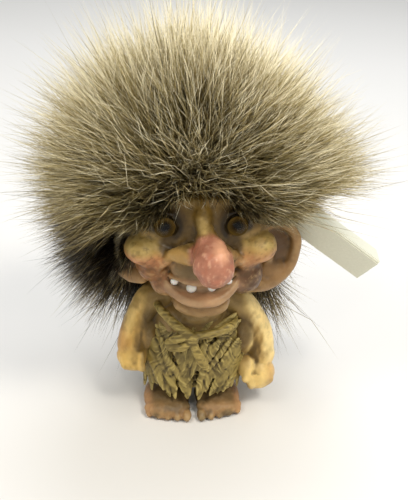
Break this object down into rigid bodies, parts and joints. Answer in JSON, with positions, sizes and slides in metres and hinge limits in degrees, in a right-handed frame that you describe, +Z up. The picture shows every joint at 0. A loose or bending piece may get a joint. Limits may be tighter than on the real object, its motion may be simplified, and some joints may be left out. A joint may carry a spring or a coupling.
{
  "type": "troll figure",
  "caption": "Small standing folk troll: painted rubber castings, glass eyes, crooked bulbous nose, shaggy tunic, huge radiating fake-fur mane and a blank folded hang tag.",
  "frame": {"origin": "on the floor under the middle of the figure's outline, between the feet", "axes": "+Z up; the figure faces -Y, and its own left side is at +X"},
  "size_m": [0.1149, 0.092, 0.1281],
  "materials": {
    "painted_skin": "satin paint, ochre over brown wash",
    "painted_feet": "satin paint, pinkish brown with dark wash",
    "painted_tunic": "satin paint, olive ochre with dark grooves",
    "eye_glass": "polished",
    "iris_paint": "gloss brown",
    "pupil_paint": "gloss black",
    "wire": "drawn wire",
    "tooth_plastic": "gloss white",
    "plug_rubber": "matt",
    "knit_backing": "knitted",
    "fur": "long fake fur, dark roots and pale tips",
    "tag_card": "blank coated card",
    "tag_nylon": "clear nylon"
  },
  "bodies": {
    "figure": {"head_casting": "painted_skin", "left_ear": "painted_skin", "right_ear": "painted_skin", "body_casting": "painted_skin", "left_arm": "painted_skin", "right_arm": "painted_skin", "left_leg": "painted_feet", "right_leg": "painted_feet", "tunic": "painted_tunic", "tunic_tie": "painted_tunic", "left_eye_glass": "eye_glass", "right_eye_glass": "eye_glass", "left_iris_ring": "iris_paint", "right_iris_ring": "iris_paint", "left_pupil": "pupil_paint", "right_pupil": "pupil_paint", "left_eye_wire": "wire", "right_eye_wire": "wire", "teeth": "tooth_plastic", "pour_plug": "plug_rubber", "fur_backing": "knit_backing", "mane_front": "fur", "mane_back": "fur", "mane_crown": "fur", "mane_left": "fur", "mane_right": "fur", "tag_loop": "tag_nylon"},
    "tag_upper": {"tag_upper_leaf": "tag_card"},
    "tag_lower": {"tag_lower_leaf": "tag_card"}
  },
  "joints": [
    {"name": "tag_swing", "type": "hinge", "parent": "figure", "child": "tag_upper", "pos_m": [0.0298, 0.00466, 0.0704], "axis": [0.5591, 0.0302, 0.8285], "range_deg": [-8, 8]},
    {"name": "tag_open", "type": "hinge", "parent": "tag_upper", "child": "tag_lower", "pos_m": [0.02841, -0.00112, 0.07125], "axis": [0.8025, -0.2708, -0.5317], "range_deg": [-8, 25]}
  ]
}
